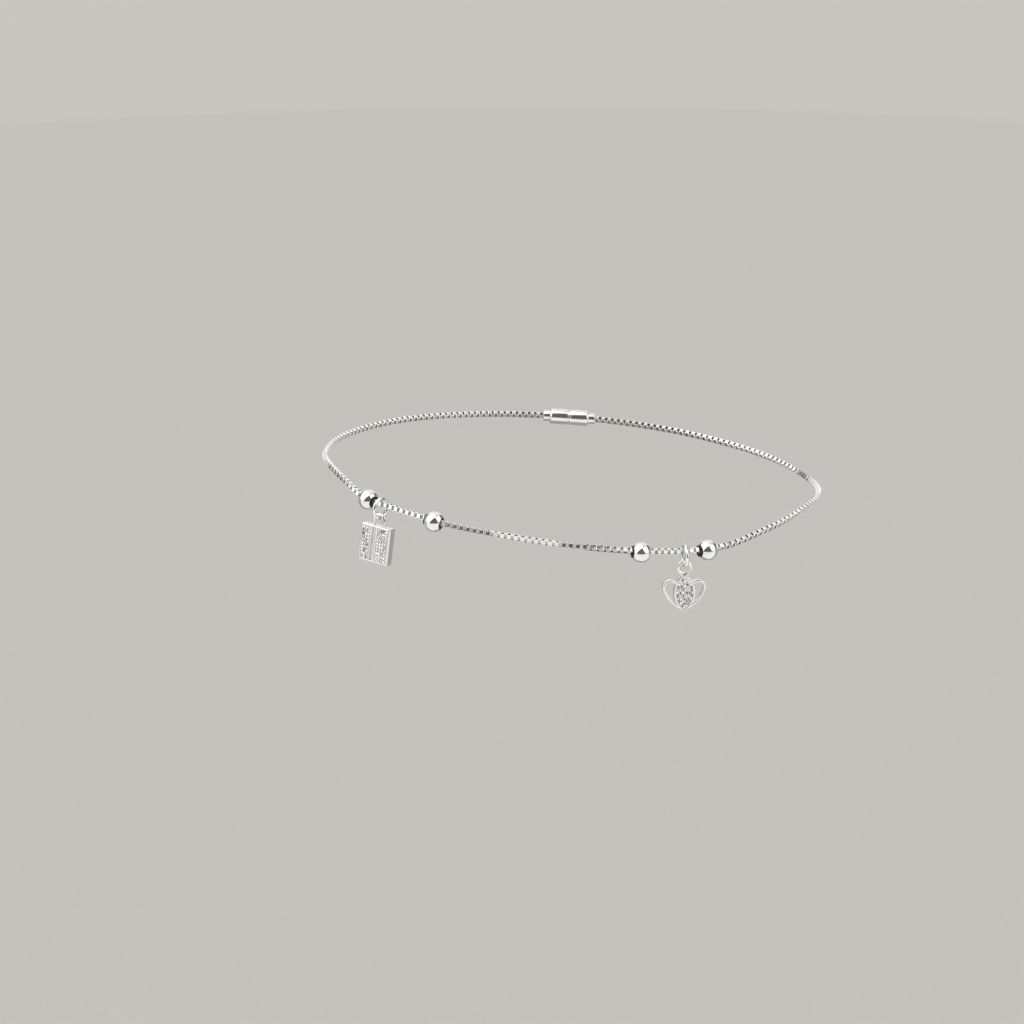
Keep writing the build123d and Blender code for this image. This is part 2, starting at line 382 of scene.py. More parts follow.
def floor_paper():
    """Pale matt paper under and behind the anklet."""
    material, tree, coordinates = new_material("pale_paper")
    fibres = add(tree, "TexNoise", Vector=coordinates, Scale=900.0, Detail=5.0)
    colour = add(tree, "MixRGB", fibres.outputs["Fac"], (0.55, 0.53, 0.505, 1), (0.575, 0.555, 0.53, 1))
    bump = add(tree, "Bump", Height=fibres.outputs["Fac"], Strength=0.2, Distance=2e-5)
    shader = add(tree, "BsdfPrincipled", Base_Color=colour.outputs[0], Roughness=0.75,
                 Normal=bump.outputs[0])
    finish_material(tree, shader)
    return material


# ------------------------------------------------------------------ making and placing pieces

def sharp_edges(bm, degrees=50):
    """Edges where two faces meet at more than an angle."""
    limit = math.radians(degrees)
    return [edge for edge in bm.edges if len(edge.link_faces) == 2 and edge.calc_face_angle() > limit]


def round_edges(bm, edges, radius, segments):
    """Edges rounded, or cut off flat where there is one segment."""
    bmesh.ops.bevel(bm, geom=edges, affect="EDGES", offset=radius, segments=segments,
                    profile=0.5, material=-1, clamp_overlap=True)


def cut(bm, point, normal, clear=False):
    """A plane cuts everything; clear takes away what lies past it, along its normal."""
    everything = bm.verts[:] + bm.edges[:] + bm.faces[:]
    bmesh.ops.bisect_plane(bm, geom=everything, plane_co=point, plane_no=normal, clear_outer=clear)


def open_edges(bm):
    """Edges with one face, round a mesh's openings."""
    return [edge for edge in bm.edges if edge.is_boundary]


def vertices_of(items):
    """The vertices among the items that an operator gives."""
    return [item for item in items if isinstance(item, bmesh.types.BMVert)]


def put_in(bm, part, place=Matrix.Identity(4)):
    """A copy of a mesh added to a bmesh at a place."""
    count = len(bm.verts)
    bm.from_mesh(part)
    bm.verts.ensure_lookup_table()
    bmesh.ops.transform(bm, matrix=place, verts=bm.verts[count:])


def as_mesh(bm, name):
    """A bmesh closed into a mesh with its faces outwards."""
    bmesh.ops.recalc_face_normals(bm, faces=bm.faces)
    mesh = bpy.data.meshes.new(name)
    bm.to_mesh(mesh)
    bm.free()
    return mesh


def show(name, mesh, place, material, slot, *nodes, crease=38):
    """A finished piece: its mesh goes to its place, and it stands for its nodes."""
    mesh.transform(place)
    mesh.materials.append(material)
    mesh.shade_smooth()
    mesh.set_sharp_from_angle(angle=math.radians(crease))
    piece = bpy.data.objects.new(name, mesh)
    bpy.context.scene.collection.objects.link(piece)
    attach(piece, "root")
    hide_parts(*nodes)
    return piece


def wire_ring(bm, radius, wire, axis=UP, sweep=math.tau, segments=16, steps=72):
    """A round wire swept about the origin, starting on X; a full turn closes on itself."""
    tilt = UP.rotation_difference(axis.cross(Vector((1, 0, 0)))).to_matrix().to_4x4()
    start = Matrix.Translation((radius, 0, 0)) @ tilt
    section = bmesh.ops.create_circle(bm, segments=segments, radius=wire / 2, matrix=start)["verts"]
    edges = list({edge for vertex in section for edge in vertex.link_edges})
    full = sweep == math.tau
    bmesh.ops.spin(bm, geom=section + edges, cent=(0, 0, 0), axis=axis, angle=sweep,
                   steps=steps, use_merge=full, use_duplicate=False)


def lathe(bm, outline, steps=64):
    """A closed outline of (radius, height) turned about Z into a solid."""
    vertices = [bm.verts.new((radius, 0, height)) for radius, height in outline]
    edges = [bm.edges.new(pair) for pair in zip(vertices, vertices[1:] + vertices[:1])]
    bmesh.ops.spin(bm, geom=vertices + edges, cent=(0, 0, 0), axis=UP, angle=math.tau,
                   steps=steps, use_merge=True, use_duplicate=False)


# ------------------------------------------------------------------ box chain

def chain_line():
    """Points along the chain's smooth line, in metres, and how far along it each is."""
    curve = bpy.data.curves.new("chain_route", "CURVE")
    curve.dimensions = "3D"
    curve.resolution_u = 24
    spline = curve.splines.new("NURBS")
    spline.points.add(len(CHAIN_ROUTE) - 1)
    for point, place in zip(spline.points, CHAIN_ROUTE):
        point.co = (*place, 1)
    spline.order_u = 3
    spline.use_endpoint_u = True
    route = bpy.data.objects.new("chain_route", curve)
    mesh = bpy.data.meshes.new_from_object(route)
    points = np.array([vertex.co for vertex in mesh.vertices])
    bpy.data.objects.remove(route)
    bpy.data.meshes.remove(mesh)
    steps = np.linalg.norm(np.diff(points, axis=0), axis=1)
    return points, np.concatenate([[0], np.cumsum(steps)]) / MM


def box_link():
    """One link: a square ring with rounded corners, its opening along Y and its inside in dark metal as
    painted shade.
    """
    bm = bmesh.new()
    block = Matrix.Diagonal((LINK_LENGTH, LINK_BAND, LINK_WIDTH, 1))
    bmesh.ops.create_cube(bm, size=1, matrix=block)
    corners = [edge for edge in bm.edges if abs((edge.verts[0].co - edge.verts[1].co).y) > LINK_BAND / 2]
    round_edges(bm, corners, LINK_CORNER, segments=1)
    sides = [face for face in bm.faces if abs(face.normal.y) > ALONG]
    bmesh.ops.inset_individual(bm, faces=sides, thickness=LINK_METAL, use_even_offset=True)
    bmesh.ops.delete(bm, geom=sides, context="FACES_ONLY")
    round_edges(bm, sharp_edges(bm, degrees=60), LINK_EDGE, segments=1)
    # The link's inner faces take the second material: painted shade inside the link.
    for face in bmesh.ops.bridge_loops(bm, edges=open_edges(bm))["faces"]:
        face.material_index = 1
    return as_mesh(bm, "box_link")


def links_turn(distance):
    """How far the chain is turned about its own line at a distance along it."""
    places, rolls = zip(*CHAIN_ROLL)
    return -math.radians(np.interp(distance, places, rolls))


def box_chain(metal, painted_shade_metal):
    """Every link along the chain's line, each a quarter turn from the one before."""
    points, distances = chain_line()
    link = box_link()
    bm = bmesh.new()
    count = int((distances[-1] - LINK_LENGTH) / LINK_PITCH) + 1
    start = (distances[-1] - (count - 1) * LINK_PITCH) / 2
    for number in range(count):
        distance = start + number * LINK_PITCH
        centre, before, after = (
            Vector([np.interp(at, distances, points[:, way]) for way in range(3)])
            for at in (distance, distance - LINK_LENGTH / 4, distance + LINK_LENGTH / 4)
        )
        along = (after - before).normalized()
        inward = UP.cross(along).normalized()
        turn = links_turn(distance) + (number % 2) * math.pi / 2
        place = placed(centre, along, inward, along.cross(inward)) @ Matrix.Rotation(turn, 4, "X")
        put_in(bm, link, place)
    mesh = as_mesh(bm, "box_chain_links")
    piece = show("box_chain_links", mesh, Matrix.Identity(4), metal, "silver", "box_chain", crease=40)
    # The second material darkens the links' insides as painted shade.
    piece.data.materials.append(painted_shade_metal)
    bpy.data.meshes.remove(link)


# ------------------------------------------------------------------ beads

def bead_ball(radius, reach):
    """A ball with a hole along Z and rounded lips; reach is how far its ends are from its middle."""
    bm = bmesh.new()
    bmesh.ops.create_uvsphere(bm, u_segments=72, v_segments=48, radius=radius)
    for end in (-1, 1):
        cut(bm, (0, 0, end * reach), (0, 0, end), clear=True)
    bmesh.ops.bridge_loops(bm, edges=open_edges(bm))
    corners = sharp_edges(bm, degrees=30)
    lips = [edge for edge in corners if abs(abs(edge.verts[0].co.z) - reach) < TINY]
    round_edges(bm, lips, BEAD_LIP, segments=4)
    bmesh.ops.dissolve_degenerate(bm, edges=bm.edges[:], dist=TINY)
    return as_mesh(bm, "bead")


def core_tube(radius, reach, hole):
    """A silicone tube along Z with rounded ends; its hole is round the chain, at the point hole."""
    bm = bmesh.new()
    lathe(bm, [(CORE_HOLE / 2, -reach), (radius, -reach), (radius, reach), (CORE_HOLE / 2, reach)])
    middle = (CORE_HOLE / 2 + radius) / 2
    inner = [vertex for vertex in bm.verts if vertex.co.xy.length < middle]
    bmesh.ops.translate(bm, vec=(hole.x, hole.y, 0), verts=inner)
    round_edges(bm, sharp_edges(bm, degrees=60), CORE_EDGE, segments=4)
    return as_mesh(bm, "bead_core")


def beads(metal, rubber):
    """Each bead on its own axis, its core's hole round the chain."""
    line = [Vector(point) for point in chain_line()[0]]
    for number in "1234":
        ball = "bead_" + number
        core = "bead_core_" + number
        axis = own_axes(core)[0]
        place = round_place(ball, axis)
        high = size_in(ball, place)[1]
        show("stopper_" + ball, bead_ball(high.x, high.z), place, metal, "silver", ball)
        place = round_place(core, axis)
        high = size_in(core, place)[1]
        nearest = min(line, key=lambda point: (point - place.translation).length)
        tube = core_tube(high.x, high.z, place.inverted() @ nearest)
        show("stopper_" + core, tube, place, rubber, "silicone", core)


# ------------------------------------------------------------------ jump rings

def jump_ring(name, material):
    """A ring of round wire, closed but for the hair slit where it was opened."""
    axis = own_axes(name)[2]
    place = round_place(name, axis)
    low, high = size_in(name, place)
    wire = high.z - low.z
    radius = high.x - wire / 2
    slit = RING_SLIT / radius
    bm = bmesh.new()
    wire_ring(bm, radius, wire, sweep=math.tau - slit)
    bmesh.ops.holes_fill(bm, edges=open_edges(bm))
    round_edges(bm, sharp_edges(bm, degrees=60), RING_END_EDGE, segments=2)
    turn = Matrix.Rotation(RING_SLIT_TURN, 4, "Z")
    bmesh.ops.transform(bm, matrix=turn, verts=bm.verts)
    show(name + "_wire", as_mesh(bm, name), place, material, "silver", name)


# ------------------------------------------------------------------ stones

def brilliant(width):
    """One small cut stone, its table towards -Y and its girdle at y = 0."""
    bm = bmesh.new()
    radius = width / 2
    girdle = STONE_GIRDLE * width / 2
    crown = STONE_CROWN * width
    pavilion = STONE_PAVILION * width
    crown_middle = girdle + crown / 2
    upper = bmesh.ops.create_cone(bm, segments=STONE_SIDES, radius1=radius, radius2=STONE_TABLE * radius,
                                  depth=crown, cap_ends=False,
                                  matrix=Matrix.Translation((0, 0, crown_middle)))["verts"]
    table = [vertex for vertex in upper if vertex.co.z > crown_middle]
    half_side = Matrix.Rotation(math.pi / STONE_SIDES, 3, "Z")
    bmesh.ops.rotate(bm, cent=(0, 0, 0), matrix=half_side, verts=table)
    bmesh.ops.triangulate(bm, faces=bm.faces[:])
    bmesh.ops.contextual_create(bm, geom=table)
    bmesh.ops.create_cone(bm, segments=STONE_SIDES, radius1=radius, radius2=radius, depth=2 * girdle,
                          cap_ends=False)
    bmesh.ops.create_cone(bm, segments=STONE_SIDES, radius1=0, radius2=radius, depth=pavilion,
                          cap_ends=False, matrix=Matrix.Translation((0, 0, -girdle - pavilion / 2)))
    bmesh.ops.remove_doubles(bm, verts=bm.verts, dist=TINY)
    bmesh.ops.rotate(bm, cent=(0, 0, 0), matrix=Matrix.Rotation(math.pi / 2, 3, "X"), verts=bm.verts)
    return as_mesh(bm, "brilliant")


def stone_bed(outline, centres, bore, depth, spare):
    """A plate inside an outline, spare smaller, with a cone bored for each stone, closed behind."""
    bm = bmesh.new()
    outline(bm)
    face = bmesh.ops.contextual_create(bm, geom=bm.edges[:])["faces"]
    bmesh.ops.inset_region(bm, faces=face, thickness=spare, use_even_offset=True, use_boundary=True)
    keep = set(face[0].verts)
    bmesh.ops.delete(bm, geom=face, context="FACES_ONLY")
    bmesh.ops.delete(bm, geom=[vertex for vertex in bm.verts if vertex not in keep], context="VERTS")
    bores = []
    for x, z in centres:
        place = Matrix.Translation((x, 0, z)) @ Matrix.Rotation(math.pi / 2, 4, "X")
        bores.append(bmesh.ops.create_circle(bm, segments=12, radius=bore / 2, matrix=place)["verts"])
    bmesh.ops.triangle_fill(bm, edges=bm.edges[:], use_beauty=True, normal=FRONT)
    for rim, (x, z) in zip(bores, centres):
        near_rim = {edge for vertex in rim for edge in vertex.link_edges}
        edges = [edge for edge in near_rim if edge.is_boundary]
        foot = vertices_of(bmesh.ops.extrude_edge_only(bm, edges=edges)["geom"])
        about = Matrix.Translation((-x, 0, -z))
        bmesh.ops.scale(bm, vec=(SEAT_FOOT, 1, SEAT_FOOT), verts=foot, space=about)
        bmesh.ops.translate(bm, vec=(0, SEAT_DEPTH, 0), verts=foot)
    outer = [edge for edge in open_edges(bm) if keep.issuperset(edge.verts)]
    back = vertices_of(bmesh.ops.extrude_edge_only(bm, edges=outer)["geom"])
    bmesh.ops.translate(bm, vec=(0, BED_THICKNESS, 0), verts=back)
    bmesh.ops.holes_fill(bm, edges=open_edges(bm))
    bmesh.ops.translate(bm, vec=(0, depth, 0), verts=bm.verts)
    return as_mesh(bm, "stone_bed")


def prong(width):
    """The rounded head of a prong, its middle at y = 0."""
    bm = bmesh.new()
    bmesh.ops.create_uvsphere(bm, u_segments=8, v_segments=6, radius=width / 2)
    return as_mesh(bm, "prong")


def repeated(part, spots, depth, turns=None):
    """Copies of a part at spots (x, z), all at one depth y, each with its own turn if there are any."""
    bm = bmesh.new()
    for number, (x, z) in enumerate(spots):
        turn = turns[number] if turns else Matrix.Identity(4)
        put_in(bm, part, Matrix.Translation((x, depth, z)) @ turn)
    bpy.data.meshes.remove(part)
    return as_mesh(bm, "repeated")


def paving(node, place, outline, spare, front, width, centres, prong_width, corners, finishes):
    """Stones with their bed, spare inside an outline, and their prongs; front is the rim's own y."""
    metal, painted_shade_seat_metal, stone = finishes
    girdle = front - STONE_PROUD + (STONE_CROWN + STONE_GIRDLE / 2) * width
    rng = np.random.default_rng(len(centres))
    turns = []
    for _ in centres:
        spin, lean, sway = rng.uniform(-1, 1, 3)
        turns.append(Matrix.Rotation(sway * STONE_LEAN, 4, "Z") @ Matrix.Rotation(lean * STONE_LEAN, 4, "X")
                     @ Matrix.Rotation(spin * math.pi / STONE_SIDES, 4, "Y"))
    stones = repeated(brilliant(width), centres, girdle, turns)
    show(node + "_stones", stones, place, stone, "stones", node, crease=5)
    bed = stone_bed(outline, centres, SEAT_MOUTH * width, front + BED_DEPTH, spare)
    # The bed round the stones is in darker metal: painted shade between the stones.
    show(node + "_bed", bed, place, painted_shade_seat_metal, "silver", node, crease=30)
    prongs = repeated(prong(prong_width), corners, girdle - PRONG_PROUD)
    show(node + "_prongs", prongs, place, metal, "silver", node)


# ------------------------------------------------------------------ padlock

def square(bm, place):
    """A square's four edges."""
    bmesh.ops.create_grid(bm, x_segments=1, y_segments=1, size=0.5, matrix=place)
    bmesh.ops.delete(bm, geom=bm.faces[:], context="FACES_ONLY")


def upright(edge):
    """Whether an edge runs along Z."""
    way = edge.verts[0].co - edge.verts[1].co
    return abs(way.z) > ALONG * way.length


def faces_between(bm, start, end, top, depth):
    """Forward faces at a depth y, from start to end along X and no further than top from the middle."""
    found = []
    for face in bm.faces:
        centre = face.calc_center_median()
        flat = face.normal.y < -ALONG and abs(centre.y - depth) < TINY
        if flat and start < centre.x < end and abs(centre.z) < top:
            found.append(face)
    return found


def padlock_body(width, thickness, height):
    """The padlock's flat body with two pockets for stones and a channel between them."""
    bm = bmesh.new()
    bmesh.ops.create_cube(bm, size=1, matrix=Matrix.Diagonal((width, thickness, height, 1)))
    round_edges(bm, [edge for edge in bm.edges if upright(edge)], LOCK_CORNER, segments=5)
    round_edges(bm, sharp_edges(bm), LOCK_EDGE, segments=4)

    front = -thickness / 2
    outer = width / 2 - LOCK_SIDE_RIM
    top = height / 2 - LOCK_END_RIM
    left, right = (LOCK_CHANNEL_SHIFT + side * LOCK_CHANNEL / 2 for side in (-1, 1))
    hollows = (
        (-outer, left - LOCK_INNER_RIM, POCKET_DEPTH),
        (left, right, LOCK_CHANNEL_DEPTH),
        (right + LOCK_INNER_RIM, outer, POCKET_DEPTH),
    )
    for start, end, _ in hollows:
        cut(bm, (start, 0, 0), (1, 0, 0))
        cut(bm, (end, 0, 0), (1, 0, 0))
    for z in (-top, top):
        cut(bm, (0, 0, z), (0, 0, 1))

    for start, end, depth in hollows:
        faces = faces_between(bm, start, end, top, front)
        bmesh.ops.inset_region(bm, faces=faces, thickness=POCKET_DRAFT, depth=-depth, use_even_offset=True)
    rims = [
        edge for edge in sharp_edges(bm)
        if all(abs(vertex.co.y - front) < TINY for vertex in edge.verts)
    ]
    round_edges(bm, rims, LOCK_RIM_EDGE, segments=3)
    # The channel's floor takes the second material: painted shade in the channel.
    for face in faces_between(bm, left, right, top, front + LOCK_CHANNEL_DEPTH):
        face.material_index = 1
    return as_mesh(bm, "padlock_body")


def channel_bar(front, length):
    """The low rounded bar along the channel's floor, a slice off a cylinder."""
    radius = LOCK_BAR ** 2 / (8 * LOCK_BAR_HEIGHT) + LOCK_BAR_HEIGHT / 2
    floor_depth = front + LOCK_CHANNEL_DEPTH
    middle = Matrix.Translation((LOCK_CHANNEL_SHIFT, floor_depth + radius - LOCK_BAR_HEIGHT, 0))
    bm = bmesh.new()
    bmesh.ops.create_cone(bm, segments=48, radius1=radius, radius2=radius, depth=length,
                          cap_ends=True, matrix=middle)
    cut(bm, (0, floor_depth, 0), (0, 1, 0), clear=True)
    bmesh.ops.holes_fill(bm, edges=open_edges(bm))
    return as_mesh(bm, "channel_bar")


def shackle(top, rise):
    """The bent wire on the padlock, with a little solder where each leg meets the body."""
    leg = SHACKLE_SPAN / 2
    bend = top + rise
    bm = bmesh.new()
    wire_ring(bm, leg, SHACKLE_WIRE, axis=FRONT, sweep=math.pi, segments=20, steps=32)
    bmesh.ops.translate(bm, vec=(0, 0, bend), verts=bm.verts)
    feet = vertices_of(bmesh.ops.extrude_edge_only(bm, edges=open_edges(bm))["geom"])
    bmesh.ops.translate(bm, vec=(0, 0, -rise - SHACKLE_ROOT), verts=feet)
    bmesh.ops.holes_fill(bm, edges=open_edges(bm))
    radius = SHACKLE_WIRE / 2
    for side in (-1, 1):
        middle = Matrix.Translation((side * leg, 0, top + SOLDER_HEIGHT / 2))
        bmesh.ops.create_cone(bm, segments=24, radius1=radius + SOLDER_WIDTH, radius2=radius,
                              depth=SOLDER_HEIGHT, cap_ends=True, matrix=middle)
    return as_mesh(bm, "shackle")


def padlock(finishes):
    """The padlock in one piece of metal, and the stones in its two panels."""
    metal, painted_shade_seat_metal, _ = finishes
    plates = ("lock_pave_left", "lock_pave_right")
    place = facing_place(plates[0])
    low, high = size_in("lock_charm", place)
    plate_low, plate_high = size_in(plates[0], place)
    height = plate_high.z - plate_low.z + 2 * (PAVE_GAP + LOCK_END_RIM)
    width = high.x - low.x
    thickness = high.y - low.y
    centre = Vector(((low.x + high.x) / 2, (low.y + high.y) / 2, low.z + height / 2))
    place = place @ Matrix.Translation(centre)
    rise = high.z - low.z - height - SHACKLE_WIRE / 2 - SHACKLE_SPAN / 2

    bm = bmesh.new()
    put_in(bm, padlock_body(width, thickness, height))
    put_in(bm, channel_bar(-thickness / 2, height - 2 * LOCK_END_RIM))
    put_in(bm, shackle(height / 2, rise))
    piece = show("padlock", as_mesh(bm, "padlock"), place, metal, "silver", "lock_charm")
    # The second material darkens the channel's floor as painted shade.
    piece.data.materials.append(painted_shade_seat_metal)

    for node in plates:
        low, high = size_in(node, place)
        columns = int((high.x - low.x) / LOCK_STONE)
        rows = int((high.z - low.z) / LOCK_STONE)
        step_x = (high.x - low.x) / columns
        step_z = (high.z - low.z) / rows
        centres = [
            (low.x + (column + 0.5) * step_x, low.z + (row + 0.5) * step_z)
            for column in range(columns)
            for row in range(rows)
        ]
        corners = [
            (low.x + column * step_x, low.z + row * step_z)
            for column in range(columns + 1)
            for row in range(rows + 1)
        ]
        middle = (low + high) / 2
        pocket_width = high.x - low.x + 2 * PAVE_GAP
        pocket_height = high.z - low.z + 2 * PAVE_GAP
        pocket = Matrix.Translation((middle.x, 0, middle.z)) @ Matrix.Rotation(math.pi / 2, 4, "X")
        pocket = pocket @ Matrix.Diagonal((pocket_width, pocket_height, 1, 1))
        paving(node, place, lambda bm: square(bm, pocket), BED_GAP, -thickness / 2, LOCK_STONE, centres,
               LOCK_PRONG, corners, finishes)


# ------------------------------------------------------------------ heart

def arc(bm, start, centre, sweep, steps):
    """An arc in the XZ plane from a point about a centre, as edges; gives its last vertex."""
    vertex = bm.verts.new((start[0], 0, start[1]))
    made = bmesh.ops.spin(bm, geom=[vertex], cent=(centre[0], 0, centre[1]), axis=FRONT,
                          angle=sweep, steps=steps, use_merge=False, use_duplicate=False)
    return vertices_of(made["geom_last"])[0]


def arc_through(bm, start, middle, end, steps):
    """An arc in the XZ plane through three points."""
    (ax, az), (bx, bz), (cx, cz) = start, middle, end
    a, b, c = (ax * ax + az * az, bx * bx + bz * bz, cx * cx + cz * cz)
    area = 2 * (ax * (bz - cz) + bx * (cz - az) + cx * (az - bz))
    x = (a * (bz - cz) + b * (cz - az) + c * (az - bz)) / area
    z = (a * (cx - bx) + b * (ax - cx) + c * (bx - ax)) / area
    first = math.atan2(az - z, ax - x)
    last = math.atan2(cz - z, cx - x)
    sweep = (last - first + math.pi) % math.tau - math.pi
    arc(bm, start, (x, z), sweep, steps)


def thicken(bm, front, back):
    """Gives flat faces thickness, from y = -front to y = back."""
    bmesh.ops.translate(bm, vec=(0, -front, 0), verts=bm.verts)
    made = bmesh.ops.extrude_face_region(bm, geom=bm.faces[:], use_keep_orig=True)["geom"]
    bmesh.ops.translate(bm, vec=(0, front + back, 0), verts=vertices_of(made))
    bmesh.ops.recalc_face_normals(bm, faces=bm.faces)


def heart_band():
    """The open heart: a flat band on edge, its two sides mirror images."""
    bm = bmesh.new()
    middle = HEART_HALF_WIDTH - HEART_LOBE_RADIUS
    shoulder = (HEART_HALF_WIDTH, HEART_LOBE_HEIGHT)
    tip = (0.0, -OVAL_HALF_HEIGHT)
    arc_through(bm, tip, HEART_BULGE, shoulder, steps=28)
    arc(bm, shoulder, (middle, HEART_LOBE_HEIGHT), math.pi, steps=24)
    cleft = bm.verts.new((0, 0, HEART_LOBE_HEIGHT))
    bmesh.ops.remove_doubles(bm, verts=bm.verts, dist=ONE_POINT)
    lobe_end = Vector((middle - HEART_LOBE_RADIUS, 0, HEART_LOBE_HEIGHT))
    inner = min(bm.verts, key=lambda vertex: (vertex.co - lobe_end).length)
    bm.edges.new((inner, cleft))
    bmesh.ops.mirror(bm, geom=bm.verts[:] + bm.edges[:], axis="X", merge_dist=ONE_POINT)
    face = bmesh.ops.contextual_create(bm, geom=bm.edges[:])["faces"]
    bmesh.ops.inset_region(bm, faces=face, thickness=HEART_BAND, use_even_offset=True, use_boundary=True)
    bmesh.ops.delete(bm, geom=face, context="FACES")
    thicken(bm, HEART_BAND_FRONT, HEART_BACK)
    rims = sharp_edges(bm)
    front = [edge for edge in rims if all(vertex.co.y < 0 for vertex in edge.verts)]
    back = [edge for edge in rims if all(vertex.co.y > 0 for vertex in edge.verts)]
    round_edges(bm, back, HEART_BACK_EDGE, segments=2)
    round_edges(bm, front, HEART_ROUND, segments=4)
    return as_mesh(bm, "heart_band")


def oval_outline(bm):
    """A pointed oval's edges, its long way along Z."""
    tip_x, tip_z = OVAL_TIP
    arc_through(bm, (tip_x, -tip_z), (OVAL_HALF_WIDTH, 0), (tip_x, tip_z), steps=40)
    arc_through(bm, (tip_x, tip_z), (0, OVAL_HALF_HEIGHT), (-tip_x, tip_z), steps=12)
    arc_through(bm, (-tip_x, tip_z), (-OVAL_HALF_WIDTH, 0), (-tip_x, -tip_z), steps=40)
    arc_through(bm, (-tip_x, -tip_z), (0, -OVAL_HALF_HEIGHT), (tip_x, -tip_z), steps=12)
    bmesh.ops.remove_doubles(bm, verts=bm.verts, dist=ONE_POINT)


def oval_setting():
    """The pointed oval with its thin rim and the pocket that the stones fill."""
    bm = bmesh.new()
    oval_outline(bm)
    bmesh.ops.contextual_create(bm, geom=bm.edges[:])
    thicken(bm, OVAL_FRONT, HEART_BACK)
    face = [face for face in bm.faces if face.normal.y < -ALONG]
    bmesh.ops.inset_region(bm, faces=face, thickness=OVAL_RIM, use_even_offset=True)
    bmesh.ops.inset_region(bm, faces=face, thickness=POCKET_DRAFT, depth=-POCKET_DEPTH,
                           use_even_offset=True)
    round_edges(bm, sharp_edges(bm), OVAL_EDGE, segments=3)
    return as_mesh(bm, "oval_setting")


def oval_ring(margin, shift=0.0):
    """Spots evenly spaced round the oval's pocket, a margin inside its wall."""
    side = OVAL_HALF_WIDTH - OVAL_RIM
    top = OVAL_HALF_HEIGHT - OVAL_RIM
    bend = (side * side + top * top) / (2 * side)
    radius = bend - margin
    half_turn = math.acos((bend - side) / radius)
    gaps = int(2 * half_turn * radius / HEART_STONE_PITCH)
    spots = []
    for number in range(gaps):
        turn = (2 * (number + shift) / gaps - 1) * half_turn
        x = radius * math.cos(turn) - (bend - side)
        z = radius * math.sin(turn)
        spots += [(x, z), (-x, -z)]
    return spots


def oval_spots():
    """Spots for the oval's stones, ring inside ring, and for the prongs in the hollows between them."""
    stones = []
    prongs = []
    for ring in range(HEART_STONE_RINGS):
        margin = HEART_STONE / 2 + OVAL_SPARE + ring * HEART_STONE_PITCH
        stones += oval_ring(margin)
        prongs += oval_ring(margin - HEART_STONE_PITCH / 2 + OVAL_SPARE, 0.5)
    return stones, prongs


def heart(finishes):
    """The heart, its oval setting and its loop in one piece of metal, and the oval's stones."""
    place = facing_place("heart_pave")
    high = size_in("heart_charm", place)[1]
    place = place @ Matrix.Translation((0, high.y - HEART_BACK, 0))
    loop_radius = (LOOP_OUTER - LOOP_WIRE) / 2
    loop_height = high.z - LOOP_OUTER / 2

    bm = bmesh.new()
    put_in(bm, heart_band())
    put_in(bm, oval_setting())
    loop = bmesh.new()
    wire_ring(loop, loop_radius, LOOP_WIRE, axis=FRONT)
    bmesh.ops.translate(loop, vec=(0, 0, loop_height), verts=loop.verts)
    put_in(bm, as_mesh(loop, "loop"))
    show("heart", as_mesh(bm, "heart"), place, finishes[0], "silver", "heart_charm")

    centres, corners = oval_spots()
    paving("heart_pave", place, oval_outline, OVAL_RIM + BED_GAP, -OVAL_FRONT, HEART_STONE, centres,
           HEART_PRONG, corners, finishes)


# ------------------------------------------------------------------ clasp

def at_ring(edge, radius, height):
    """Whether an edge runs round the ring at a radius and a height either side of the middle."""
    misses = [(vertex.co.xy.length - radius, abs(vertex.co.z) - height) for vertex in edge.verts]
    return all(abs(miss) < ONE_POINT for pair in misses for miss in pair)


def clasp(material):
    """A plain barrel with rounded ends, a groove round its middle and a collar for each chain end."""
    place = round_place("clasp", own_axes("clasp")[0])
    high = size_in("clasp", place)[1]
    radius = high.x
    reach = high.z
    half = BARREL_LENGTH / 2
    waist = radius - CLASP_GROOVE_DEPTH
    groove = CLASP_GROOVE / 2
    hole = COLLAR_HOLE / 2
    foot = reach - COLLAR_HOLE_DEPTH
    bm = bmesh.new()
    lathe(bm, [
        (0, -foot), (hole, -foot), (hole, -reach), (COLLAR_RADIUS, -reach), (COLLAR_RADIUS, -half),
        (radius, -half), (radius, -groove), (waist, -groove), (waist, groove), (radius, groove),
        (radius, half), (COLLAR_RADIUS, half), (COLLAR_RADIUS, reach), (hole, reach), (hole, foot),
        (0, foot),
    ])
    bmesh.ops.remove_doubles(bm, verts=bm.verts, dist=TINY)
    bmesh.ops.delete(bm, geom=[edge for edge in bm.edges if edge.is_wire], context="EDGES")
    corners = sharp_edges(bm)
    ends = [edge for edge in corners if at_ring(edge, radius, half)]
    rings = ((COLLAR_RADIUS, reach), (radius, groove))
    lips = [edge for edge in corners if any(at_ring(edge, *ring) for ring in rings)]
    round_edges(bm, lips, COLLAR_LIP, segments=3)
    round_edges(bm, ends, CLASP_END, segments=8)
    show("barrel_clasp", as_mesh(bm, "clasp"), place, material, "silver", "clasp")


# ------------------------------------------------------------------ studio

# Places and sizes in metres, and the lens in millimetres
CAMERA_AIM = Vector((-0.01043, -0.00224, -0.00616))
CAMERA_DISTANCE = 0.5
CAMERA_ELEVATION = math.radians(20)
CAMERA_LENS = 101.95
FLOOR_DROP = 0.085
FLOOR_HALF_WIDTH = 6.0
CARD_OUTER = 0.7
WHITE_CARD_INNER = 0.03
WHITE_CARD_HEIGHT = 0.006
WHITE_CARD_BACK = -0.012
GREY_CARD_INNER = 0.001
GREY_CARD_HEIGHT = 0.003

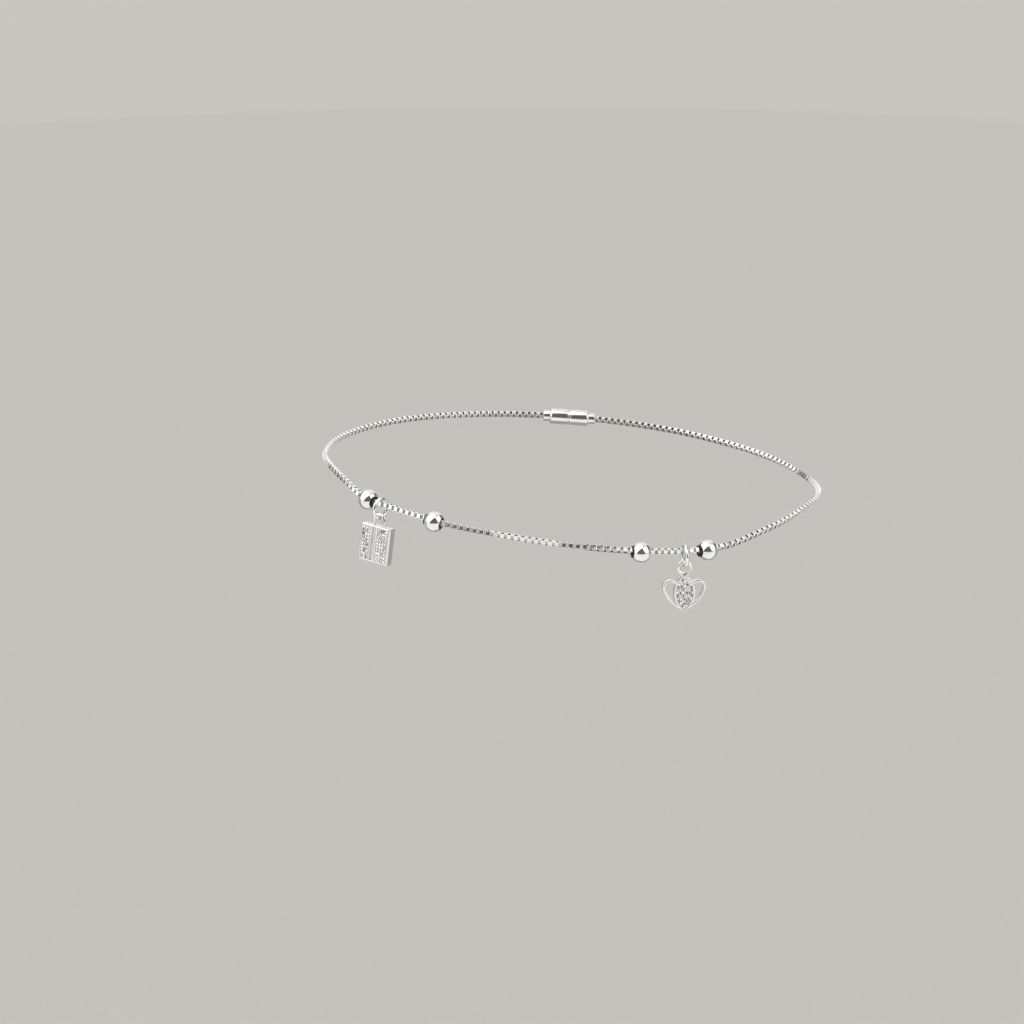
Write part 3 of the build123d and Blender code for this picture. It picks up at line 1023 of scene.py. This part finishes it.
# Directions as azimuth and elevation in degrees, and the levels of the light from them
LEFT_LIGHT = (-60, 50)
LEFT_LIGHT_SPREAD = math.radians(56)
RIGHT_LIGHT = (68, 32)
RIGHT_LIGHT_SPREAD = math.radians(32)
WEDGE_TOP = (12, 62)
WEDGE_LEFT_FOOT = (-52, 0)
WEDGE_RIGHT_FOOT = (48, 0)
DIM_SPOTS = ((-128, 12), (124, 12))
DIM_SPREAD = math.radians(24)
LIGHT_LEVEL = 1.4
ROOM_FRONT = 0.12
ROOM_BACK = 0.85
ROUND_SOFT = 0.04
EDGE_SOFT = 0.05
BACK_EDGE = 0.1
BACK_SOFT = 0.5


def camera():
    """The camera in front, looking a little down."""
    data = bpy.data.cameras.new("camera")
    data.lens = CAMERA_LENS
    data.clip_start = 0.01
    data.clip_end = 20
    made = bpy.data.objects.new("camera", data)
    back = Vector((0, -math.cos(CAMERA_ELEVATION), math.sin(CAMERA_ELEVATION)))
    made.location = CAMERA_AIM + CAMERA_DISTANCE * back
    made.rotation_euler = (math.pi / 2 - CAMERA_ELEVATION, 0, 0)
    bpy.context.scene.collection.objects.link(made)
    bpy.context.scene.camera = made


def floor():
    """A plain floor some way under the anklet."""
    bm = bmesh.new()
    bmesh.ops.create_grid(bm, x_segments=1, y_segments=1, size=FLOOR_HALF_WIDTH,
                          matrix=Matrix.Translation((0, 0, -FLOOR_DROP)))
    mesh = as_mesh(bm, "floor")
    mesh.materials.append(floor_paper())
    made = bpy.data.objects.new("floor", mesh)
    bpy.context.scene.collection.objects.link(made)


def card(name, inner, height, back, material):
    """A ring of card over the floor, cut off behind y = back, that only metal and stones see."""
    bm = bmesh.new()
    place = Matrix.Translation((0, 0, height - FLOOR_DROP))
    for radius in (inner, CARD_OUTER):
        bmesh.ops.create_circle(bm, segments=64, radius=radius, matrix=place)
    bmesh.ops.bridge_loops(bm, edges=bm.edges[:])
    cut(bm, (0, back, 0), (0, 1, 0), clear=True)
    made = bpy.data.objects.new(name, as_mesh(bm, name))
    made.data.materials.append(material)
    made.visible_camera = False
    made.visible_diffuse = False
    made.visible_shadow = False
    bpy.context.scene.collection.objects.link(made)


def looking(azimuth, elevation):
    """The direction at an azimuth, 0 in front and right positive, and an elevation, in degrees."""
    raised = Matrix.Rotation(-math.radians(elevation), 3, "X") @ FRONT
    return Matrix.Rotation(math.radians(azimuth), 3, "Z") @ raised


def past(tree, direction, axis, edge, soft):
    """From 0 to 1 as a direction nears an axis, softly across an edge, the cosine of their angle."""
    cosine = add(tree, "VectorMath", direction, axis, settings={"operation": "DOT_PRODUCT"})
    share = add(tree, "MapRange", cosine.outputs["Value"], edge - soft, edge + soft,
                settings={"interpolation_type": "SMOOTHSTEP"})
    return share.outputs[0]


def blend(tree, share, low, high):
    """Goes from one value to another with a share; either may be a socket."""
    return add(tree, "MapRange", share, 0.0, 1.0, low, high).outputs[0]


def combine(tree, operation, first, second):
    """Two numbers put together by a named operation."""
    return add(tree, "Math", first, second, settings={"operation": operation}).outputs[0]


def studio_light():
    """A wide round light high on the left, a smaller one on the right, and a dim wedge between them.

    The room is dim in front and pale behind, with a dim round spot on each side.
    """
    world = bpy.data.worlds.new("studio")
    bpy.context.scene.world = world
    world.use_nodes = True
    tree = world.node_tree
    tree.nodes.clear()
    direction = add(tree, "TexCoord").outputs["Generated"]

    left = past(tree, direction, looking(*LEFT_LIGHT), math.cos(LEFT_LIGHT_SPREAD), ROUND_SOFT)
    left_side = looking(*WEDGE_LEFT_FOOT).cross(looking(*WEDGE_TOP)).normalized()
    left = combine(tree, "MULTIPLY", left, past(tree, direction, left_side, 0.0, EDGE_SOFT))
    right = past(tree, direction, looking(*RIGHT_LIGHT), math.cos(RIGHT_LIGHT_SPREAD), ROUND_SOFT)
    right_side = looking(*WEDGE_TOP).cross(looking(*WEDGE_RIGHT_FOOT)).normalized()
    right = combine(tree, "MULTIPLY", right, past(tree, direction, right_side, 0.0, EDGE_SOFT))
    lights = combine(tree, "MAXIMUM", left, right)
    behind = past(tree, direction, -FRONT, BACK_EDGE, BACK_SOFT)
    room = blend(tree, behind, ROOM_FRONT, ROOM_BACK)
    for spot in DIM_SPOTS:
        dim = past(tree, direction, looking(*spot), math.cos(DIM_SPREAD), EDGE_SOFT)
        room = blend(tree, dim, room, ROOM_FRONT)
    light = blend(tree, lights, room, LIGHT_LEVEL)
    background = add(tree, "Background", (1, 1, 1, 1), light)
    add(tree, "OutputWorld", Surface=background.outputs[0])


# ------------------------------------------------------------------ the anklet

polished = polished_silver()
paved = (polished, painted_shade_seat_silver(), cut_stone())

box_chain(chain_silver(), painted_shade_silver())
beads(polished, silicone())
jump_ring("jump_ring_lock", polished)
jump_ring("jump_ring_heart", polished)
padlock(paved)
heart(paved)
clasp(polished)

floor()
card("white_card", WHITE_CARD_INNER, WHITE_CARD_HEIGHT, WHITE_CARD_BACK,
     card_board("white_card", (0.93, 0.925, 0.915, 1), (0.90, 0.895, 0.885, 1)))
card("grey_card", GREY_CARD_INNER, GREY_CARD_HEIGHT, CARD_OUTER,
     card_board("grey_card", (0.36, 0.352, 0.342, 1), (0.33, 0.322, 0.313, 1)))
studio_light()
camera()
bpy.context.scene.view_settings.view_transform = "Standard"
